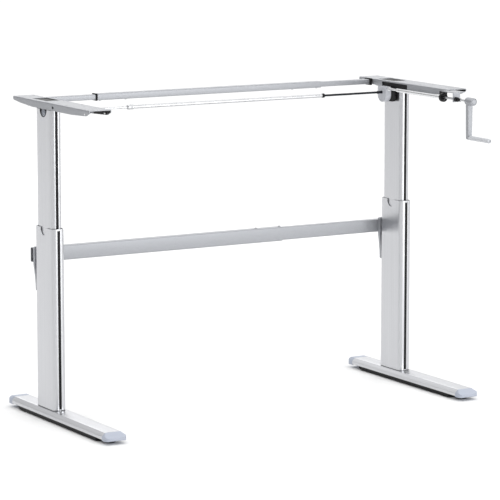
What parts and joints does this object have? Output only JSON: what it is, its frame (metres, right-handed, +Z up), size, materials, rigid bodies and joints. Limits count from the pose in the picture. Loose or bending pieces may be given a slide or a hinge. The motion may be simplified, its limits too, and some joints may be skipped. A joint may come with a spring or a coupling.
{
  "type": "height_adjustable_desk_frame",
  "caption": "Silver hand-cranked height-adjustable desk frame without its top: telescopic legs on long flat feet, telescopic crossbars, a cross shaft and a crank under the right rail",
  "frame": {"origin": "centre of the frame's bounding box in X and Y, on the floor plane under the levellers", "axes": "+X from the left leg to the right leg along the crossbars, +Y away from the user, so the crank stands out at -Y, +Z up"},
  "size_m": [1.47, 0.9158, 1.0855],
  "materials": {
    "anodised_aluminium": "satin",
    "silver_powder_coat": "satin",
    "pale_grey_plastic": "matte",
    "grey_cast_housing": "satin",
    "black_plastic": "matte",
    "zinc_plated_steel": "satin",
    "blackened_steel": "satin",
    "black_rubber": "matte"
  },
  "bodies": {
    "left_base": {"left_foot": "anodised_aluminium", "left_foot_front_cap": "pale_grey_plastic", "left_foot_rear_cap": "pale_grey_plastic", "left_column_gasket": "black_plastic", "left_outer_column": "anodised_aluminium", "left_outer_strip": "black_plastic", "left_column_glide": "black_plastic", "left_nut_tube": "zinc_plated_steel", "left_spindle_nut": "black_plastic", "left_bar_bracket": "silver_powder_coat", "lower_bar_outer": "silver_powder_coat", "lower_bar_screw_1": "zinc_plated_steel", "lower_bar_screw_2": "zinc_plated_steel"},
    "left_top": {"left_inner_column": "anodised_aluminium", "left_inner_strip": "black_plastic", "left_gear_head": "black_plastic", "left_top_rail": "silver_powder_coat", "crossbar_left_tube": "silver_powder_coat", "crossbar_sleeve": "silver_powder_coat", "crossbar_collar": "black_plastic", "crossbar_screw_1": "zinc_plated_steel", "crossbar_screw_2": "zinc_plated_steel", "crossbar_screw_3": "zinc_plated_steel", "crossbar_screw_4": "zinc_plated_steel"},
    "left_screw": {"left_spindle": "zinc_plated_steel"},
    "cross_shaft": {"cross_shaft_rod": "zinc_plated_steel", "shaft_coupling": "zinc_plated_steel", "cross_shaft_tube": "zinc_plated_steel", "shaft_bush": "black_plastic"},
    "right_base": {"right_foot": "anodised_aluminium", "right_foot_front_cap": "pale_grey_plastic", "right_foot_rear_cap": "pale_grey_plastic", "right_column_gasket": "black_plastic", "right_outer_column": "anodised_aluminium", "right_outer_strip": "black_plastic", "right_column_glide": "black_plastic", "right_nut_tube": "zinc_plated_steel", "right_spindle_nut": "black_plastic", "right_bar_bracket": "silver_powder_coat", "lower_bar_inner": "silver_powder_coat"},
    "right_top": {"right_inner_column": "anodised_aluminium", "right_inner_strip": "black_plastic", "right_gear_head": "black_plastic", "right_top_rail": "silver_powder_coat", "crossbar_right_tube": "silver_powder_coat", "crossbar_flange": "black_plastic", "gearbox_drum": "grey_cast_housing", "crank_clamp": "black_plastic", "crank_bracket": "silver_powder_coat", "crank_bearing": "black_plastic"},
    "right_screw": {"right_spindle": "zinc_plated_steel"},
    "sliding_hex_shaft": {"hex_shaft": "blackened_steel"},
    "crank_drive": {"crank_tube": "silver_powder_coat"},
    "crank_handle": {"crank_rod": "zinc_plated_steel", "crank_arm": "silver_powder_coat"},
    "handle_grip": {"crank_grip": "pale_grey_plastic"},
    "left_front_foot_pad": {"left_front_leveller": "black_rubber"},
    "left_rear_foot_pad": {"left_rear_leveller": "black_rubber"},
    "right_front_foot_pad": {"right_front_leveller": "black_rubber"},
    "right_rear_foot_pad": {"right_rear_leveller": "black_rubber"}
  },
  "joints": [
    {"name": "crank_turn", "type": "hinge", "parent": "right_top", "child": "crank_drive", "pos_m": [0.6417, 0.1996, 1.0588], "axis": [0, 1, 0], "range_deg": [-28440, 7560]},
    {"name": "left_lift", "type": "slide", "parent": "left_base", "child": "left_top", "axis": [0, 0, 1], "range_m": [-0.395, 0.105]},
    {"name": "right_lift", "type": "slide", "parent": "right_base", "child": "right_top", "axis": [0, 0, 1], "range_m": [-0.395, 0.105]},
    {"name": "left_screw_turn", "type": "hinge", "parent": "left_top", "child": "left_screw", "pos_m": [-0.695, 0.1996, 1.0455], "axis": [0, 0, 1], "range_deg": [-28440, 7560]},
    {"name": "right_screw_turn", "type": "hinge", "parent": "right_top", "child": "right_screw", "pos_m": [0.695, 0.1996, 1.0455], "axis": [0, 0, 1], "range_deg": [-28440, 7560]},
    {"name": "cross_shaft_turn", "type": "hinge", "parent": "left_top", "child": "cross_shaft", "pos_m": [-0.695, 0.1996, 1.0455], "axis": [1, 0, 0], "range_deg": [-28440, 7560]},
    {"name": "hex_shaft_turn", "type": "hinge", "parent": "right_top", "child": "sliding_hex_shaft", "pos_m": [0.695, 0.1996, 1.0455], "axis": [1, 0, 0], "range_deg": [-28440, 7560]},
    {"name": "width_slide", "type": "slide", "parent": "left_base", "child": "right_base", "axis": [1, 0, 0], "range_m": [-0.19, 0.2]},
    {"name": "crank_pull", "type": "slide", "parent": "crank_drive", "child": "crank_handle", "axis": [0, -1, 0], "range_m": [-0.015, 0.12]},
    {"name": "grip_spin", "type": "hinge", "parent": "crank_handle", "child": "handle_grip", "pos_m": [0.6417, 0.1996, 0.934], "axis": [0, 1, 0], "continuous": true},
    {"name": "left_front_foot_pad_level", "type": "slide", "parent": "left_base", "child": "left_front_foot_pad", "axis": [0, 0, 1], "range_m": [-0.012, 0]},
    {"name": "left_rear_foot_pad_level", "type": "slide", "parent": "left_base", "child": "left_rear_foot_pad", "axis": [0, 0, 1], "range_m": [-0.012, 0]},
    {"name": "right_front_foot_pad_level", "type": "slide", "parent": "right_base", "child": "right_front_foot_pad", "axis": [0, 0, 1], "range_m": [-0.012, 0]},
    {"name": "right_rear_foot_pad_level", "type": "slide", "parent": "right_base", "child": "right_rear_foot_pad", "axis": [0, 0, 1], "range_m": [-0.012, 0]}
  ],
  "couplings": [
    {"joint": "left_lift", "follows": "crank_turn", "m_per_rad": 0.00079577},
    {"joint": "right_lift", "follows": "crank_turn", "m_per_rad": 0.00079577},
    {"joint": "left_screw_turn", "follows": "crank_turn", "ratio": 1},
    {"joint": "right_screw_turn", "follows": "crank_turn", "ratio": 1},
    {"joint": "cross_shaft_turn", "follows": "crank_turn", "ratio": 1},
    {"joint": "hex_shaft_turn", "follows": "crank_turn", "ratio": 1}
  ]
}
